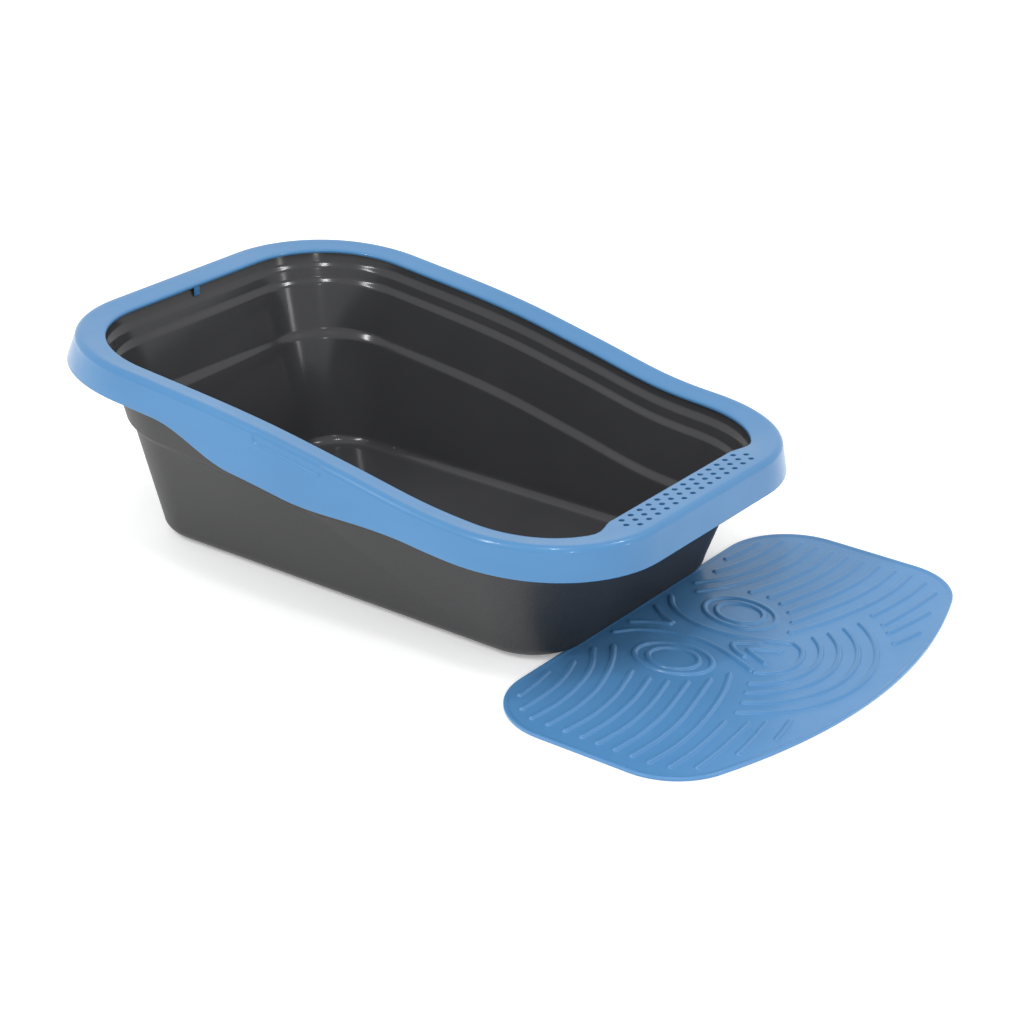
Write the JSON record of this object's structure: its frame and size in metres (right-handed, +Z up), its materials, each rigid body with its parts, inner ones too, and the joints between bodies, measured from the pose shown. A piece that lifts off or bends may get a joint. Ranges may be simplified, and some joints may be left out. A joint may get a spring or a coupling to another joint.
{
  "type": "cat litter tray with rim and mat",
  "caption": "Open cat litter tray with leaning walls and a raised back, a lift-off rim with a perforated entrance strip, and a loose bowed mat in front.",
  "frame": {"origin": "bottom centre of the box round the whole set, with the mat lying in front of the tray", "axes": "+Z up, -Y towards the entrance and the mat, +X to the right of someone who faces the raised back from the mat"},
  "size_m": [0.425, 0.7494, 0.184],
  "materials": {
    "tray_plastic": "charcoal polypropylene, glossy inside and fine satin outside",
    "rim_plastic": "blue polypropylene, satin gloss",
    "mat_plastic": "blue soft plastic, satin"
  },
  "bodies": {
    "tray": {"tray": "tray_plastic"},
    "rim": {"rim": "rim_plastic"},
    "mat": {"mat": "mat_plastic"}
  },
  "joints": [
    {"name": "rim_lift", "type": "slide", "parent": "tray", "child": "rim", "axis": [0, 0, 1], "range_m": [0, 0.15]},
    {"name": "mat_slide", "type": "slide", "parent": "tray", "child": "mat", "axis": [0, -1, 0], "range_m": [0, 0.2]}
  ]
}
